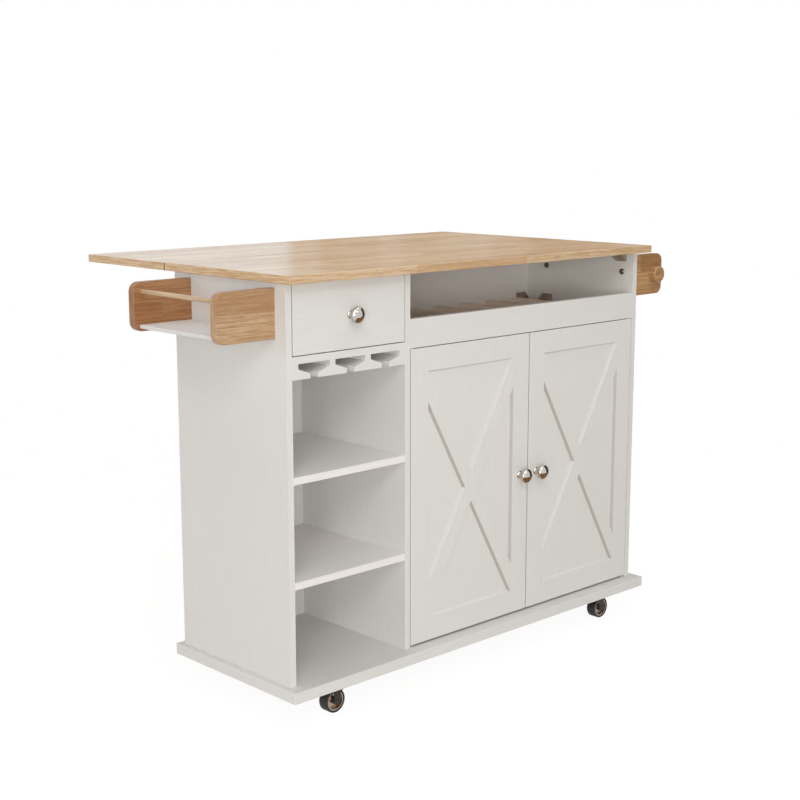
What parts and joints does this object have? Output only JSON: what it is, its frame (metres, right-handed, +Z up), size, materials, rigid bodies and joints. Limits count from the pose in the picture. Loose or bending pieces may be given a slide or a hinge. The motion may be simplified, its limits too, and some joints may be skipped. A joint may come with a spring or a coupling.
{
  "type": "drop leaf kitchen island",
  "caption": "White kitchen island on casters with a wood worktop and rear drop leaf, drawer, stemware rack, open shelves, crossed-brace doors, spice rack and towel rail.",
  "frame": {"origin": "middle of the whole island's footprint on the floor, with the leaf up", "axes": "+X to the right along the front, +Y from the front to the back, +Z up"},
  "size_m": [1.3888, 0.7164, 0.925],
  "materials": {
    "white_board": "satin",
    "light_wood": "satin",
    "rack_wood": "satin",
    "polished_metal": "polished",
    "zinc_steel": "satin",
    "bracket_plastic": "matte",
    "dark_steel": "satin",
    "wheel_core": "gloss",
    "tread_rubber": "matte"
  },
  "bodies": {
    "cabinet": {"base_board": "white_board", "left_side_panel": "white_board", "right_side_panel": "white_board", "centre_divider": "white_board", "back_panel": "white_board", "drawer_deck": "white_board", "bay_deck": "white_board", "bay_front_rail": "white_board", "bottle_bars": "white_board", "stemware_rails": "white_board", "open_shelves": "white_board", "cabinet_shelf": "white_board", "shelf_pins": "zinc_steel", "corner_brackets": "bracket_plastic", "door_pivot_pins": "zinc_steel", "door_catch": "bracket_plastic", "drawer_slides_fixed": "zinc_steel", "top_board": "light_wood", "top_hinge_plates": "zinc_steel", "hinge_pins": "zinc_steel", "stay_wall_plates": "zinc_steel", "spice_rack_plates": "rack_wood", "spice_rack_shelf": "white_board", "spice_rack_rod": "rack_wood", "towel_rail_plates": "rack_wood", "rack_bolts": "polished_metal", "cabinet_screws": "zinc_steel", "caster_plates": "dark_steel"},
    "drop_leaf": {"leaf_board": "light_wood", "leaf_hinge_plates": "zinc_steel", "stay_arms": "zinc_steel", "leaf_screws": "zinc_steel"},
    "left_stay": {"left_stay_strut": "zinc_steel"},
    "right_stay": {"right_stay_strut": "zinc_steel"},
    "left_door_leaf": {"left_door": "white_board", "left_door_knob": "polished_metal", "left_strike_plate": "zinc_steel"},
    "right_door_leaf": {"right_door": "white_board", "right_door_knob": "polished_metal", "right_strike_plate": "zinc_steel"},
    "drawer": {"drawer_front": "white_board", "drawer_sides": "white_board", "drawer_back": "white_board", "drawer_bottom": "white_board", "drawer_knob": "polished_metal", "drawer_slides_moving": "zinc_steel"},
    "towel_rail_rod": {"towel_rod": "rack_wood", "towel_rod_knob": "rack_wood"},
    "front_left_swivel": {"front_left_caster_fork": "dark_steel"},
    "front_left_wheel": {"front_left_wheel_core": "wheel_core", "front_left_wheel_tread": "tread_rubber"},
    "front_right_swivel": {"front_right_caster_fork": "dark_steel"},
    "front_right_wheel": {"front_right_wheel_core": "wheel_core", "front_right_wheel_tread": "tread_rubber"},
    "rear_left_swivel": {"rear_left_caster_fork": "dark_steel"},
    "rear_left_wheel": {"rear_left_wheel_core": "wheel_core", "rear_left_wheel_tread": "tread_rubber"},
    "rear_right_swivel": {"rear_right_caster_fork": "dark_steel"},
    "rear_right_wheel": {"rear_right_wheel_core": "wheel_core", "rear_right_wheel_tread": "tread_rubber"}
  },
  "joints": [
    {"name": "leaf_hinge", "type": "hinge", "parent": "cabinet", "child": "drop_leaf", "pos_m": [0.00375, 0.05925, 0.905], "axis": [-1, 0, 0], "range_deg": [0, 90]},
    {"name": "left_stay_fold", "type": "hinge", "parent": "cabinet", "child": "left_stay", "pos_m": [-0.28125, 0.04825, 0.78793], "axis": [-1, 0, 0], "range_deg": [0, 135]},
    {"name": "right_stay_fold", "type": "hinge", "parent": "cabinet", "child": "right_stay", "pos_m": [0.28875, 0.04825, 0.78793], "axis": [-1, 0, 0], "range_deg": [0, 135]},
    {"name": "left_door_hinge", "type": "hinge", "parent": "cabinet", "child": "left_door_leaf", "pos_m": [-0.20715, -0.32025, 0.417], "axis": [0, 0, -1], "range_deg": [0, 105]},
    {"name": "right_door_hinge", "type": "hinge", "parent": "cabinet", "child": "right_door_leaf", "pos_m": [0.53625, -0.32025, 0.417], "axis": [0, 0, 1], "range_deg": [0, 105]},
    {"name": "drawer_slide", "type": "slide", "parent": "cabinet", "child": "drawer", "axis": [0, -1, 0], "range_m": [0, 0.25]},
    {"name": "towel_rod_slide", "type": "slide", "parent": "cabinet", "child": "towel_rail_rod", "axis": [0, -1, 0], "range_m": [0, 0.235]},
    {"name": "front_left_caster_swivel", "type": "hinge", "parent": "cabinet", "child": "front_left_swivel", "pos_m": [-0.42435, -0.31925, 0.0605], "axis": [0, 0, 1], "continuous": true},
    {"name": "front_left_wheel_spin", "type": "hinge", "parent": "front_left_swivel", "child": "front_left_wheel", "pos_m": [-0.43635, -0.31925, 0.026], "axis": [0, 1, 0], "continuous": true},
    {"name": "front_right_caster_swivel", "type": "hinge", "parent": "cabinet", "child": "front_right_swivel", "pos_m": [0.43185, -0.31925, 0.0605], "axis": [0, 0, 1], "continuous": true},
    {"name": "front_right_wheel_spin", "type": "hinge", "parent": "front_right_swivel", "child": "front_right_wheel", "pos_m": [0.44385, -0.31925, 0.026], "axis": [0, 1, 0], "continuous": true},
    {"name": "rear_left_caster_swivel", "type": "hinge", "parent": "cabinet", "child": "rear_left_swivel", "pos_m": [-0.42435, 0.01525, 0.0605], "axis": [0, 0, 1], "continuous": true},
    {"name": "rear_left_wheel_spin", "type": "hinge", "parent": "rear_left_swivel", "child": "rear_left_wheel", "pos_m": [-0.43635, 0.01525, 0.026], "axis": [0, 1, 0], "continuous": true},
    {"name": "rear_right_caster_swivel", "type": "hinge", "parent": "cabinet", "child": "rear_right_swivel", "pos_m": [0.43185, 0.01525, 0.0605], "axis": [0, 0, 1], "continuous": true},
    {"name": "rear_right_wheel_spin", "type": "hinge", "parent": "rear_right_swivel", "child": "rear_right_wheel", "pos_m": [0.44385, 0.01525, 0.026], "axis": [0, 1, 0], "continuous": true}
  ],
  "couplings": [
    {"joint": "left_stay_fold", "follows": "leaf_hinge", "ratio": 1.5},
    {"joint": "right_stay_fold", "follows": "leaf_hinge", "ratio": 1.5}
  ]
}
